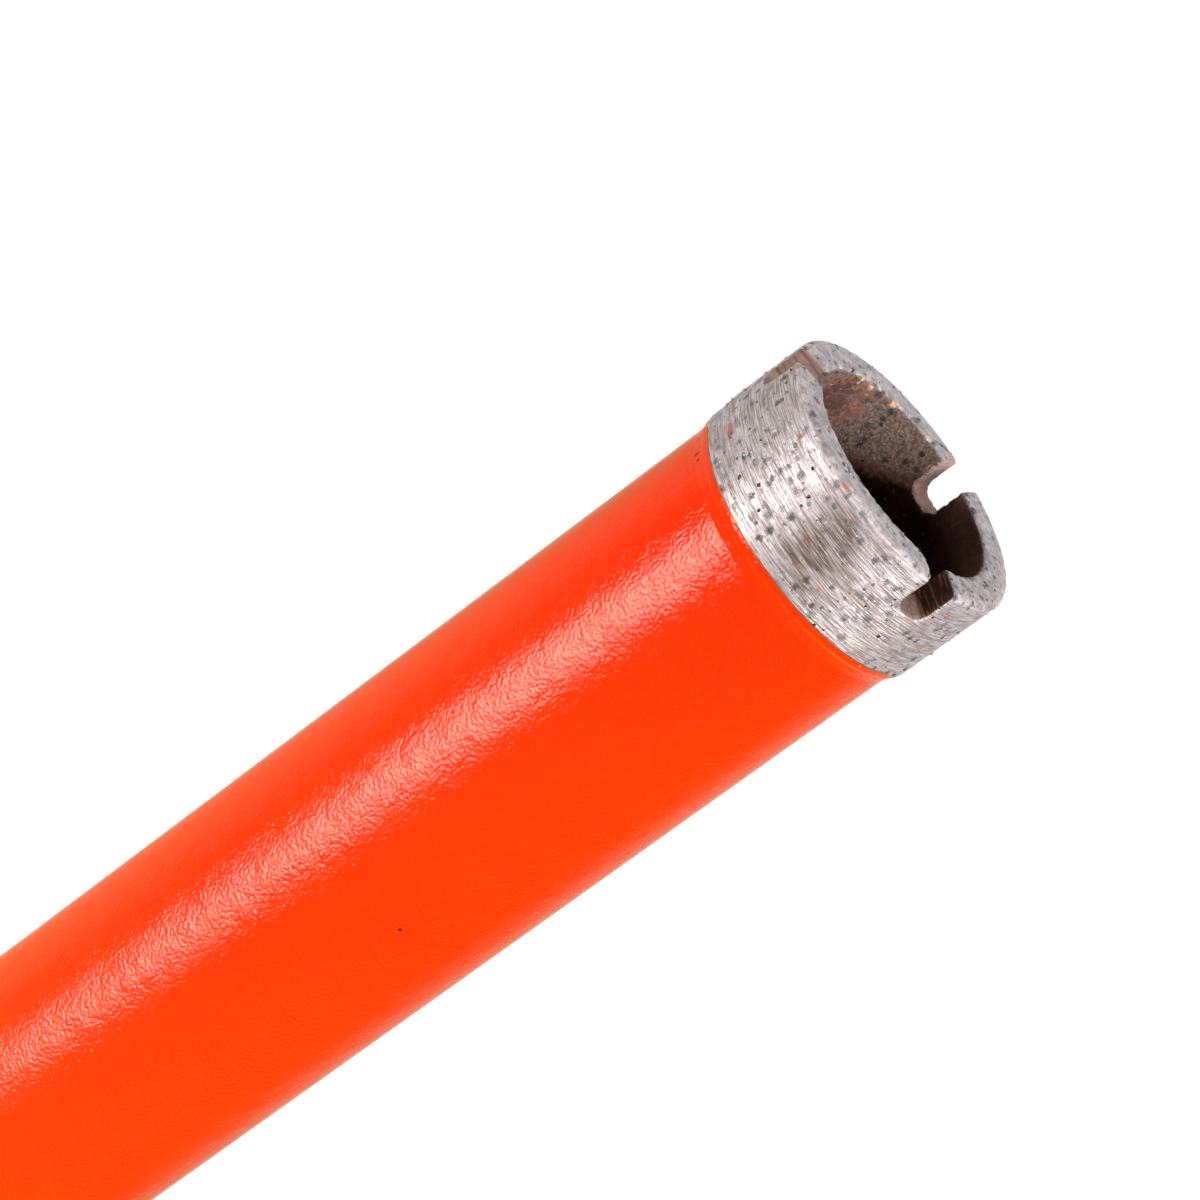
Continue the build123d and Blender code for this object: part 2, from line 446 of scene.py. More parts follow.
# %% Sintered metal: shine and relief
dull = larger(tree, larger(tree, bore_raw, times(tree, sawn, 0.9)), splash)
shiny = larger(tree, rest_of(tree, dull), painted_glint)
metal_share = times(tree, shiny, step_between(tree, ground, 0.0, 1.0, 0.64, 0.50))
tree.links.new(times(tree, metal_share, rest_of(tree, speck_share)), shader.inputs["Metallic"])
# The bore's painted shade also takes the shine off it.
painted_shade_and_sawn = larger(tree, times(tree, bore_raw, shade), times(tree, sawn, 0.8))
tree.links.new(step_between(tree, painted_shade_and_sawn, 0.0, 1.0, 0.45, 0.03), shader.inputs["Specular IOR Level"])
rough_inputs = {
    0: step_between(tree, ground, 0.6, 1.0),
    2: 0.62,
    3: step_between(tree, marks["Height"], 0.35, 0.65, 0.45, 0.31),
}
roughness = add_node(tree, "ShaderNodeMix", {"data_type": "FLOAT"}, rough_inputs).outputs[0]
tree.links.new(roughness, shader.inputs["Roughness"])

both_marks = plus(tree, marks["Height"], times(tree, long_marks["Height"], 0.3))
both_marks = plus(tree, both_marks, times(tree, marks["Patches"], 0.9))
mark_depth = times(tree, both_marks, plus(tree, times(tree, ground, 0.9), 0.1))
grain_relief = times(tree, grain, rest_of(tree, times(tree, ground, 0.8)))
relief = calc(tree, "SUBTRACT", plus(tree, mark_depth, grain_relief), times(tree, speck_share, 0.8))
add_bump(tree, shader, relief, 0.085 * mm)
print("finish:", sintered_metal.name)

# %% [markdown]
# ## Finish: diamond, braze, enamel and steel
# A diamond in the metal shows as a dark, glassy grain. Braze is dull brass. Enamel is a glossy
# colour over steel whose skin is never quite flat: it dries with the fine swell of an orange's
# peel, and that swell is what breaks up a highlight. Two sizes of soft noise make it. The bare
# steel in the bores has only turning marks and a little brown stain.

# %% Diamond and braze
diamond_grit, tree, shader, place = new_material("diamond_grit")
tone = mask(tree, "grit_tone")
grit_colour = tinted(tree, colour(0.03, 0.028, 0.026), colour(0.26, 0.28, 0.31), tone, 0.1, 0.9)
grit_colour = tinted(tree, grit_colour, colour(0.50, 0.17, 0.06), tone, 0.965, 0.97)
tree.links.new(grit_colour, shader.inputs["Base Color"])
grit_rough = step_between(tree, noise_at(tree, place, 4000.0), 0.3, 0.7, 0.22, 0.5)
tree.links.new(grit_rough, shader.inputs["Roughness"])

braze_brass, tree, shader, place = new_material("braze_brass")
dull = noise_at(tree, place, 1500.0, 3.0)
brass_colour = tinted(tree, colour(0.50, 0.33, 0.11), colour(0.26, 0.15, 0.05), dull, 0.35, 0.65)
tree.links.new(brass_colour, shader.inputs["Base Color"])
shader.inputs["Metallic"].default_value = 0.8
tree.links.new(step_between(tree, dull, 0.3, 0.7, 0.35, 0.6), shader.inputs["Roughness"])
add_bump(tree, shader, dull, 0.05 * mm, strength=0.6)
print("finishes:", diamond_grit.name, braze_brass.name)

# %% Orange enamel
# A dot is its turn round the barrel in degrees, its depth below the face and its reach, in mm.
paint_dots = (
    (-115.4, 11.95, 0.30),
    (-105.5, 12.10, 0.32),
    (-105.0, 11.75, 0.24),
    (-101.3, 11.95, 0.28),
    (-16.8, 58.97, 0.22),
)


def barrel_place(turn, depth):
    """The place on the barrel's skin at a turn in degrees and a depth below the face in mm."""
    angle = math.radians(turn)
    return (barrel_radius * math.cos(angle), barrel_radius * math.sin(angle), face_height - depth * mm)


orange_enamel, tree, shader, place = new_material("orange_enamel")
flow = noise_at(tree, place, 30.0)
paint = tinted(tree, colour(1.0, 0.022, 0.0), colour(0.98, 0.026, 0.0), flow, 0.3, 0.7)
dots = 0.0
for dot_turn, dot_depth, dot_reach in paint_dots:
    ends = {0: place, 1: barrel_place(dot_turn, dot_depth)}
    from_dot = add_node(tree, "ShaderNodeVectorMath", {"operation": "DISTANCE"}, ends).outputs["Value"]
    dots = larger(tree, step_between(tree, from_dot, dot_reach * mm, 0.6 * dot_reach * mm), dots)
dust = specks_at(tree, place, cells=95.0, share=0.16, size=0.030, ragged=0.02)
dark_spots = larger(tree, times(tree, dust["Mask"], 0.8), dots)
paint = blend_colour(tree, dark_spots, paint, colour(0.10, 0.008, 0.004))
tree.links.new(paint, shader.inputs["Base Color"])
peel = noise_at(tree, place, 2900.0)
swell = noise_at(tree, place, 420.0, 1.0)
add_bump(tree, shader, plus(tree, times(tree, peel, 0.75), swell), 0.11 * mm)
tree.links.new(step_between(tree, peel, 0.3, 0.7, 0.13, 0.18), shader.inputs["Roughness"])
shader.inputs["Specular IOR Level"].default_value = 0.45
shader.inputs["Specular Tint"].default_value = colour(1.0, 0.97, 0.78)
shader.inputs["Sheen Weight"].default_value = 0.6
shader.inputs["Sheen Roughness"].default_value = 0.5
shader.inputs["Sheen Tint"].default_value = colour(0.8, 0.42, 0.0)
print("finish:", orange_enamel.name)

# %% Bare steel
bare_steel, tree, shader, place = new_material("bare_steel")
marks = marks_at(tree, place, run=180.0, closeness=3800.0)
stain_and_dark_reflection = noise_at(tree, place, 160.0, 4.0)
steel_colour = tinted(tree, colour(0.42, 0.41, 0.40), colour(0.20, 0.13, 0.08), stain_and_dark_reflection, 0.52, 0.70, 0.7)
tree.links.new(steel_colour, shader.inputs["Base Color"])
shader.inputs["Metallic"].default_value = 1.0
tree.links.new(step_between(tree, stain_and_dark_reflection, 0.4, 0.7, 0.3, 0.55), shader.inputs["Roughness"])
add_bump(tree, shader, marks["Height"], 0.03 * mm, strength=0.7)
print("finish:", bare_steel.name)

# %% [markdown]
# ## Piece: the crown
# The crown is the cutting end: a ring of sintered metal with three slots that let water and
# slurry out. Its solid has the right shape but perfect edges, and a real one is chipped at every
# edge where grains have fallen out. Sculpting could do that by hand. Here a copy of the solid is
# merged and remeshed into small even cells, its round and flat parts are put back to their true
# places, and noise then moves its points: less than a tenth of a millimetre on the ground
# outside, more at the edges. The same pass works out the masks that the material reads.

# %% Remesh a copy of the crown
remesh_cell = 0.168
edge_chip = 0.30
rim_round = 0.65
snap_reach = 0.07
foot_wear_depth = 0.16 * mm
worn_turn = camera_side - math.radians(90)
# A knocked corner: its slot, which side of the slot, its radius, out (1) or in (-1), and its size.
knocked_corners = (
    ("dark", -1, 10.7, -1, 0.80),
    ("bright", -1, 14.0, 1, 0.45),
)


def add_piece(name, mesh, *materials):
    """A new object at the origin that holds a finished mesh."""
    piece = bpy.data.objects.new(name, mesh)
    for material in materials:
        mesh.materials.append(material)
    bpy.context.collection.objects.link(piece)
    return piece


def merged_copy(solid, name, scale=1.0):
    """A copy of a solid's mesh whose loose triangles are joined where they meet."""
    mesh = solid.data.copy()
    mesh.name = name
    mesh.materials.clear()
    work = bmesh.new()
    work.from_mesh(mesh)
    bmesh.ops.remove_doubles(work, verts=work.verts, dist=0.0005 * mm)
    bmesh.ops.scale(work, vec=(scale, scale, scale), verts=work.verts)
    work.to_mesh(mesh)
    work.free()
    return mesh


def settled_mesh(piece, name):
    """The plain mesh that a piece's modifiers give, with the piece itself removed."""
    ready = piece.evaluated_get(bpy.context.evaluated_depsgraph_get())
    mesh = bpy.data.meshes.new_from_object(ready)
    mesh.name = name
    bpy.data.objects.remove(piece)
    return mesh


rough_crown = add_piece("rough_crown", merged_copy(solids["crown"], "rough_crown", 1 / mm))
remesher = rough_crown.modifiers.new("cells", "REMESH")
remesher.mode = "VOXEL"
remesher.voxel_size = remesh_cell
crown_mesh = settled_mesh(rough_crown, "diamond_crown")
print("crown cells:", len(crown_mesh.polygons))

# %% Masks and chips of the crown


def soft(values, low, high):
    """A soft step from 0 at low to 1 at high, for a whole array."""
    share = np.clip((values - low) / (high - low), 0, 1)
    return share * share * (3 - 2 * share)


def fade(values, full, gone):
    """A soft step from 1 at full down to 0 at gone."""
    return soft(-values, -gone, -full)


def near(first, second, reach):
    """1 at an edge, where both distances are 0, falling to 0 at reach."""
    return fade(np.hypot(first, second), 0.05, reach)


def worn_share(turn):
    """How much of the foot's wear a direction round the axis has: one side has been rubbed down."""
    return soft(np.cos(turn - worn_turn), 0.45, 0.92)


def read_points(mesh):
    """The places and the normals of a mesh's points, as arrays."""
    count = len(mesh.vertices)
    places = np.empty(3 * count)
    normals = np.empty(3 * count)
    mesh.vertices.foreach_get("co", places)
    mesh.vertex_normals.foreach_get("vector", normals)
    return places.reshape(count, 3), normals.reshape(count, 3)


def noise_over(places, scales, offset=0.0):
    """Smooth noise from -1 to 1 at each place, read at a scale for each direction."""
    read_at = places * scales + (offset, 0, 0)
    return np.array([noise.noise(point) for point in read_at])


def store_mask(mesh, name, values):
    """A mask kept on the mesh's points, for its material."""
    mesh.attributes.new(name, "FLOAT", "POINT").data.foreach_set("value", values.astype(np.float32))


# The crown is worked in millimetres, as its remeshed copy is. A wall's pair of numbers is the band
# over which its mask fades: two radii, or two depths below the face.
outer_true = crown_radius / mm
bore_true = crown_bore_radius / mm
face_z = face_height / mm
ring_height = 11.5
outer_wall = (13.0, 13.4)
bore_wall = (11.1, 11.4)
end_face = (0.4, 0.8)
places, normals = read_points(crown_mesh)
radii = np.hypot(places[:, 0], places[:, 1])
turns = np.arctan2(places[:, 1], places[:, 0])
outward = (normals[:, 0] * places[:, 0] + normals[:, 1] * places[:, 1]) / radii
upward = normals[:, 2]
below_face = face_z - places[:, 2]


def facing(way):
    """1 where a point's normal goes squarely one way, falling to 0 where it goes another."""
    return soft(way, 0.6, 0.9)


on_ground = facing(outward) * soft(radii, *outer_wall)
on_end = facing(upward) * fade(below_face, *end_face)
in_bore = facing(-outward) * fade(radii, *bore_wall)
slot_half = 1.6
slot_depth = 4.15
slot_corner = 1.2
slot_turns = {"bright": math.radians(120), "dark": math.radians(0), "brown": math.radians(240)}
slot_paleness = {"bright": 1.0, "dark": 0.0, "brown": 0.42}
far_off = 9.0


def slot_gap(turn):
    """How far each point lies from the wall of a U-shaped slot: more than 0 in the metal."""
    ahead = math.cos(turn) * places[:, 0] + math.sin(turn) * places[:, 1]
    across = abs(math.cos(turn) * places[:, 1] - math.sin(turn) * places[:, 0])
    past_side = across - (slot_half - slot_corner)
    past_floor = slot_corner - (slot_depth - below_face)
    past_corner = np.hypot(np.maximum(past_side, 0), np.maximum(past_floor, 0))
    before_both = np.minimum(np.maximum(past_side, past_floor), 0)
    return np.where(ahead > 0, past_corner + before_both - slot_corner, far_off)


gaps = {name: slot_gap(turn) for name, turn in slot_turns.items()}
nearest_gap = np.min(list(gaps.values()), axis=0)
in_slot = fade(abs(nearest_gap), 0.05, 0.14)
on_floor = soft(upward, 0.35, 0.8)
slot_pale = np.zeros(len(places))
for name, gap in gaps.items():
    slot_pale += fade(abs(gap), 0.2, 0.3) * np.clip(slot_paleness[name] + 1.3 * on_floor, 0, 1)
print("points on the ground side:", int((on_ground > 0.5).sum()))
print("points in the slots:", int((in_slot > 0.5).sum()))

# %% Put the true surfaces back, then wear them


def snapped(values, true_value, way):
    """Values put back on a true surface, where a point lies close to it and faces its way squarely."""
    return np.where((way > 0.95) & (abs(values - true_value) < snap_reach), true_value, values)


new_radii = snapped(snapped(radii, outer_true, outward), bore_true, -outward)
new_z = snapped(places[:, 2], face_z, upward)

swell_noise = noise_over(places, (0.35, 0.35, 1.1))
small_noise = noise_over(places, (2.1, 2.1, 2.1), 7.0)
grain_noise = noise_over(places, (4.4, 4.4, 4.4), 31.0)
swell_depth = 0.014
grain_depth = 0.012
raw_depth = 0.045
slot_chip_depth = 0.34
slot_edge_depth = 0.10
sawn_depth = 0.03
from_outer = outer_true - radii
from_bore = radii - bore_true
rim_chips = soft(small_noise, 0.0, 0.55) * edge_chip + soft(grain_noise, 0.1, 0.6) * 0.10
slot_chips = soft(small_noise, -0.2, 0.5) + 0.5 * soft(grain_noise, 0.0, 0.6)
slot_edges = np.maximum(near(nearest_gap, from_outer, 0.4), near(nearest_gap, below_face, 0.4))
foot_wear = foot_wear_depth / mm * soft(outward, 0.2, 0.5) * soft(below_face, 7.7, 10.2)

lift = swell_depth * swell_noise + grain_depth * grain_noise
lift -= (near(from_outer, below_face, 0.55) * 0.75 + near(from_bore, below_face, 0.65)) * rim_chips
lift += in_bore * raw_depth * (small_noise + 0.6 * grain_noise)
lift -= slot_chip_depth * slot_chips * near(nearest_gap, from_bore, 0.6)
lift -= slot_edge_depth * slot_chips * slot_edges
lift += in_slot * sawn_depth * small_noise
lift -= foot_wear * worn_share(turns)

past_side = new_radii - (outer_true - rim_round)
past_top = new_z - (face_z - rim_round)
past_round = np.hypot(past_side, past_top)
proud = (past_side > 0) & (past_top > 0) & (past_round > rim_round)
shrink = rim_round / np.maximum(past_round, rim_round)
new_radii = np.where(proud, outer_true - rim_round + past_side * shrink, new_radii)
new_z = np.where(proud, face_z - rim_round + past_top * shrink, new_z)
trued = np.stack((np.cos(turns) * new_radii, np.sin(turns) * new_radii, new_z), axis=1)
worn = trued + normals * lift[:, None]

for slot_name, side, radius, outwards, knocked in knocked_corners:
    turn = slot_turns[slot_name]
    edge_turn = turn + side * math.asin(slot_half / radius)
    corner = np.array((radius * math.cos(edge_turn), radius * math.sin(edge_turn), face_z))
    away = np.array((outwards * math.cos(edge_turn), outwards * math.sin(edge_turn), 0.6))
    away += np.array((side * math.sin(turn), -side * math.cos(turn), 0))
    away /= np.linalg.norm(away)
    close = np.linalg.norm(worn - corner, axis=1) < 4 * knocked
    height = (worn - corner) @ away + knocked + 0.10 * small_noise
    worn -= np.where(close & (height > 0), height, 0)[:, None] * away
crown_mesh.vertices.foreach_set("co", (worn * mm).ravel())
print(f"wear moves the crown's surface by {lift.min():.2f} to {lift.max():.2f} mm")

# %% Rust, splashes, painted shade, a painted dark reflection and painted glints of the crown
# A painted glint: its turn in degrees, its depth below the face, and its reach.
painted_glints = ((-178.4, 0.45, 0.34), (165.3, 0.35, 0.30), (-171.0, 0.30, 0.18))
# A splash: its turn in degrees, its depth below the face, and its half height and half width.
splashes = (
    (-103.4, 7.95, 0.24, 0.55),
    (-99.6, 8.05, 0.36, 0.60),
    (-77.7, 1.75, 0.26, 0.28),
    (-52.6, 0.48, 0.16, 0.55),
    (-42.9, 1.83, 0.17, 0.20),
    (-40.6, 8.10, 0.20, 0.16),
    (21.7, 6.14, 0.20, 0.28),
    (-29.6, 7.94, 0.16, 0.20),
)
# Painted shade: the bore's colour is left light this deep on its lit side, and painted dark below.
lit_turn = math.radians(190)
lit_reach = 8.9
rust_turn = math.radians(-167)
# The painted dark reflection sits just off the camera's side.
dark_reflection_turn = camera_side + math.radians(5)
grit_ends = 10.9


def from_spot(radius, turn, depth, half_width, half_height):
    """How far each point lies from a spot on a round wall of the crown: 1 at the spot's edge."""
    around = radius * np.angle(np.exp(1j * (turns - turn)))
    return np.hypot(around / half_width, (below_face - depth) / half_height)


lit_depth = lit_reach * np.maximum(np.cos(turns - lit_turn), 0)
painted_bore_shade = in_bore * soft(below_face - lit_depth + 0.9 * small_noise, -1.9, 1.2)
from_rust = from_spot(bore_true, rust_turn, 3.2, 3.2, 2.6)
from_dark_reflection = from_spot(outer_true, dark_reflection_turn, 5.2, 3.1, 4.6)
painted_glint_here = np.zeros(len(places))
for glint_turn, glint_depth, reach in painted_glints:
    spread = from_spot(bore_true, math.radians(glint_turn), glint_depth, reach, reach) + 0.4 * grain_noise
    painted_glint_here = np.maximum(painted_glint_here, fade(spread, 0.7, 1.1) * fade(radii, 11.0, 11.2))
splash_here = np.zeros(len(places))
for splash_turn, splash_depth, half_height, half_width in splashes:
    spread = from_spot(outer_true, math.radians(splash_turn), splash_depth, half_width, half_height)
    splash_here = np.maximum(splash_here, fade(spread + 0.5 * grain_noise, 0.8, 1.2))
on_side = soft(-from_outer, -1.5, -0.3) * (1 - 0.35 * fade(below_face, 0.2, 1.1))
bare_foot = fade(below_face, 9.2, 11.3)
# Fewer grains grow where the bore's shade is painted dark.
grit = on_ground * (0.2 + 0.6 * bare_foot) + on_end + 0.45 * in_bore * (1 - painted_bore_shade)

crown_masks = {
    "ground": on_side * (1 - in_slot),
    "bore": in_bore * (1 - in_slot),
    "sawn": in_slot,
    "sawn_pale": slot_pale,
    "depth": in_bore * np.clip(below_face / ring_height, 0, 1),
    "shade": painted_bore_shade,
    "rust": in_bore * fade(from_rust + 0.4 * small_noise, 0.55, 1.25),
    "stain_and_dark_reflection": on_ground * fade(from_dark_reflection + 0.5 * swell_noise, 0.3, 1.2),
    "painted_glint": painted_glint_here,
    "splash": splash_here * on_ground,
    "grit_share": np.clip(grit, 0, 1) * (below_face < grit_ends),
}
for name, values in crown_masks.items():
    store_mask(crown_mesh, name, values)
crown_mesh.shade_smooth()
crown_mesh.update()
crown = add_piece("diamond_crown", crown_mesh, sintered_metal)
print("crown masks:", ", ".join(crown_masks))
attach(crown, "root")
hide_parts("crown")

# %% [markdown]
# ## Piece: the diamonds
# Grit of a third to half a millimetre stands a little proud of the metal, all over the cutting end. It
# is far too many grains to place by hand, and each is the same simple thing, so Geometry Nodes
# scatter it: points spread over the crown by the mask of where grit shows, a faceted grain on each,
# turned and sized at random from one seed, and sunk so that only its cap is proud.

# %% Build the scatter of grains
grain_scatter, given, out = new_group(
    "grain_scatter",
    {
        "Surface": ("Geometry", None),
        "Per square metre": ("Float", None),
        "Smallest": ("Float", None),
        "Largest": ("Float", None),
        "Sunk": ("Float", None),
        "Seed": ("Int", None),
        "Finish": ("Material", None),
    },
    {"Grains": "Geometry"},
    "GeometryNodeTree",
)


def add_grower(tree, kind, inputs, settings=None):
    """The first result of one Geometry node."""
    return add_node(tree, kind, settings, inputs).outputs[0]


def any_vector(tree, low, high, seed):
    """A vector at random between two, for each point."""
    inputs = {0: low, 1: high, "Seed": seed}
    return add_grower(tree, "FunctionNodeRandomValue", inputs, {"data_type": "FLOAT_VECTOR"})


def any_number(tree, low, high, seed):
    """A number at random between two, for each point."""
    inputs = {2: low, 3: high, "Seed": seed}
    return add_node(tree, "FunctionNodeRandomValue", {"data_type": "FLOAT"}, inputs).outputs[1]


def finish_tree(tree, shape, material, out):
    """The last steps of a tree: instances made real, and a material for them all."""
    real = add_grower(tree, "GeometryNodeRealizeInstances", {0: shape})
    finished = add_grower(tree, "GeometryNodeSetMaterial", {"Geometry": real, "Material": material})
    tree.links.new(finished, out[0])


full_turn = (6.28, 6.28, 6.28)
shown = {"Name": "grit_share"}
where = add_grower(grain_scatter, "GeometryNodeInputNamedAttribute", shown, {"data_type": "FLOAT"})
density = times(grain_scatter, where, given["Per square metre"])
spread = add_node(
    grain_scatter,
    "GeometryNodeDistributePointsOnFaces",
    {"distribute_method": "RANDOM"},
    {"Mesh": given["Surface"], "Density": density, "Seed": given["Seed"]},
).outputs
down = vector_calc(grain_scatter, "SCALE", spread["Normal"], times(grain_scatter, given["Sunk"], -1.0))
sunk = add_grower(grain_scatter, "GeometryNodeSetPosition", {"Geometry": spread["Points"], "Offset": down})
one_grain = add_grower(grain_scatter, "GeometryNodeMeshIcoSphere", {"Radius": 0.5, "Subdivisions": 1})
any_turn = any_vector(grain_scatter, (0, 0, 0), full_turn, 3)
any_size = any_number(grain_scatter, given["Smallest"], given["Largest"], 4)
any_tone = any_number(grain_scatter, 0.0, 1.0, 5)
any_form = any_vector(grain_scatter, (0.5, 0.5, 0.5), (1.25, 1.25, 1.25), 6)
size = vector_calc(grain_scatter, "SCALE", any_form, any_size)
placed = add_grower(
    grain_scatter,
    "GeometryNodeInstanceOnPoints",
    {"Points": sunk, "Instance": one_grain, "Rotation": any_turn, "Scale": size},
)
toned = add_grower(
    grain_scatter,
    "GeometryNodeStoreNamedAttribute",
    {"Geometry": placed, "Name": "grit_tone", "Value": any_tone},
    {"data_type": "FLOAT", "domain": "INSTANCE"},
)
finish_tree(grain_scatter, toned, given["Finish"], out)
print("tree:", grain_scatter.name)

# %% Grow the grains on the crown


def grown(name, start_mesh, tree, values):
    """The plain mesh that a Geometry Nodes tree grows from a start mesh, with its inputs set by name."""
    holder = bpy.data.objects.new(name, start_mesh)
    bpy.context.collection.objects.link(holder)
    modifier = holder.modifiers.new("grow", "NODES")
    modifier.node_group = tree
    sockets = {item.name: item.identifier for item in tree.interface.items_tree if item.in_out == "INPUT"}
    for label, value in values.items():
        modifier[sockets[label]] = value
    return settled_mesh(holder, name)


grain_values = {
    "Per square metre": 0.85e6,
    "Smallest": 0.34 * mm,
    "Largest": 0.66 * mm,
    "Sunk": 0.17 * mm,
    "Seed": 11,
    "Finish": diamond_grit,
}
grain_faces = 20
grit_mesh = grown("diamond_grains", crown_mesh, grain_scatter, grain_values)
grit = add_piece("diamond_grains", grit_mesh)
print("grains:", len(grit_mesh.polygons) // grain_faces)
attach(grit, "root")

# %% [markdown]
# ## Helper: turned pieces with an edge that wanders
# The barrel, its paint and the braze are rings. A ring can be spun from one outline, and then each
# part of it is the same all the way round, which paint never is. This helper asks for the outline
# again at every angle, so an edge can wander, and joins the outlines into one closed skin.

# %% Turned pieces


def turned_skin(name, outline_at, steps):
    """A closed ring whose outline, a loop of (radius, height), is asked for at each angle round the axis."""
    skin = bmesh.new()
    loops = []
    for step in range(steps):
        angle = 2 * math.pi * step / steps
        line = [skin.verts.new((r * math.cos(angle), r * math.sin(angle), z)) for r, z in outline_at(angle)]
        loops.append(line)
    for this, after in zip(loops, loops[1:] + loops[:1]):
        count = len(this)
        for k in range(count):
            skin.faces.new((this[k], after[k], after[(k + 1) % count], this[(k + 1) % count]))
    bmesh.ops.recalc_face_normals(skin, faces=skin.faces)
    mesh = bpy.data.meshes.new(name)
    skin.to_mesh(mesh)
    skin.free()
    mesh.shade_smooth()
    mesh.set_sharp_from_angle(angle=math.radians(38))
    return mesh


def ring_noise(angle, waves, seed):
    """Smooth noise from about -1 to 1 that closes on itself round the axis."""
    return noise.noise((waves * math.cos(angle), waves * math.sin(angle), seed))


ring_steps = 384
print("rings are made in", ring_steps, "steps")

# %% [markdown]
# ## Pieces: the braze joint and the painted barrel
# The crown is brazed onto the tube, and the braze rises from the tube to the crown's foot in a
# hollow curve. Paint is sprayed over tube, braze and the edge of the foot, and the ground crown is
# wiped or masked, so a hair of bare braze shows along the paint's edge. Both are turned skins that
# share one wandering edge line: the paint stops at it and the braze goes a tenth further.

# %% The wandering edge
paint_film = 0.08 * mm
braze_shows = 0.13 * mm
lap_full = 0.90 * mm
lap_least = 0.06 * mm
foot_bevel_depth = 0.4 * mm
foot_bevel_height = 1.0 * mm
foot_knee = 0.3
cove_drop = 1.15 * mm
cove_points = 9
film = 0.03 * mm


def lap_at(angle):
    """How far the paint laps over the crown's foot at an angle round the axis."""
    toward_camera = math.cos(angle - camera_side)
    side = float(soft(abs(toward_camera), 0.02, 0.40))
    steady = lap_least + (lap_full - lap_least) * (side if toward_camera > 0 else 0.75 * side)
    wander = 0.07 * mm * ring_noise(angle, 6, 2.0) + 0.03 * mm * ring_noise(angle, 26, 5.0)
    return max(steady + wander, 0.02 * mm)


def foot_radius(height, angle):
    """The radius of the crown's bevelled and worn foot at a height and an angle."""
    rise = min(max((height - foot_height) / foot_bevel_height, 0), 1)
    if rise < foot_knee:
        left = 1 - rise * (1 - foot_knee) / foot_knee
    else:
        left = foot_knee * (1 - rise) / (1 - foot_knee)
    worn = foot_wear_depth * float(worn_share(angle)) * (0.5 + 0.5 * min(rise / foot_knee, 1))
    return crown_radius - foot_bevel_depth * left - worn


def cove(start, end, bulge, count):
    """A hollow curve of points from one (radius, height) to another, first along the tube and then out."""
    corner = (start[0] + bulge * (end[0] - start[0]), end[1] - bulge * (end[1] - start[1]))
    points = []
    for k in range(count):
        t = k / (count - 1)
        of_start, of_corner, of_end = (1 - t) ** 2, 2 * t * (1 - t), t**2
        point = (of_start * a + of_corner * c + of_end * b for a, c, b in zip(start, corner, end))
        points.append(tuple(point))
    return points


def skin_over_joint(angle, thick, extra):
    """The line of a skin of some thickness over braze and foot, from the tube up to the edge."""
    top = foot_height + lap_at(angle) + extra
    knee = (foot_radius(foot_height, angle) + thick, foot_height)
    line = cove((barrel_radius, foot_height - cove_drop), knee, 0.12, cove_points)
    for share in (0.4, 0.75, 1.0):
        height = knee[1] + share * (top - knee[1])
        line.append((foot_radius(height, angle) + thick * (1 - 0.25 * share**4), height))
    line.append((foot_radius(top, angle) + 0.35 * thick, top + 0.35 * thick))
    line.append((foot_radius(top, angle) - film, top + 0.3 * thick))
    return line


laps = [lap_at(2 * math.pi * step / ring_steps) for step in range(ring_steps)]
print(f"paint laps {1000 * min(laps):.2f} to {1000 * max(laps):.2f} mm over the foot")

# %% The braze joint
bead_height = 0.6 * mm
bead_setback = 0.25 * mm
bead_points = 6


def braze_outline(angle):
    """The braze at an angle: the skin over the joint outside, and the bead in the bore."""
    outside = skin_over_joint(angle, 0.4 * paint_film, braze_shows)
    lip_radius = crown_bore_radius + bead_setback
    bead_foot = barrel_top - bead_height
    bead = cove((lip_radius, foot_height), (barrel_bore_radius, bead_foot), 0.25, bead_points)
    inside = [(lip_radius, foot_height + film)] + bead[1:]
    lower = [(barrel_bore_radius + film, bead_foot), (barrel_radius - film, foot_height - cove_drop)]
    return outside + inside + lower


braze = add_piece("braze_joint", turned_skin("braze_joint", braze_outline, ring_steps), braze_brass)
print("braze joint:", len(braze.data.polygons), "faces")
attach(braze, "root")
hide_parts("braze_ring")

# %% The painted barrel
tube_rows = 12
plain_above = 3 * mm


def barrel_outline(angle):
    """The tube at an angle: paint outside and over the joint, bare steel in the bore."""
    start = foot_height - cove_drop - plain_above
    rows = [seat_height + (start - seat_height) * k / tube_rows for k in range(tube_rows + 1)]
    outside = [(barrel_radius, height) for height in rows]
    over_joint = skin_over_joint(angle, paint_film, 0)
    back = [(barrel_radius - film, foot_height - cove_drop), (barrel_radius - 2 * film, barrel_top)]
    bore = [(barrel_bore_radius, barrel_top - 0.02 * mm), (barrel_bore_radius, seat_height)]
    return outside + over_joint + back + bore


barrel_mesh = turned_skin("painted_barrel", barrel_outline, ring_steps)
barrel = add_piece("painted_barrel", barrel_mesh, orange_enamel, bare_steel)
steel_within = barrel_bore_radius + 0.2 * barrel_wall
for face in barrel_mesh.polygons:
    middle = face.center
    face.material_index = 1 if math.hypot(middle.x, middle.y) < steel_within else 0
print("painted barrel:", len(barrel_mesh.polygons), "faces")
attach(barrel, "root")
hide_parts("barrel")

# %% [markdown]
# ## Piece: the weld bead
# The tube is welded into its hub by one turn of weld, and a weld is a row of frozen ripples, not a
# smooth ring. The outline helper gives it those ripples: the bead's bulge swells and shrinks with
# the angle, leaning a little, as it does when the torch moves on in even steps.

# %% The weld bead
weld_leg = weld_high.z - weld_low.z
weld_foot_radius = barrel_radius + weld_leg
ripple_count = 64
weld_points = 12
weld_bulge = 0.42 * mm
ripple_height = 0.10 * mm
each_way = 0.707


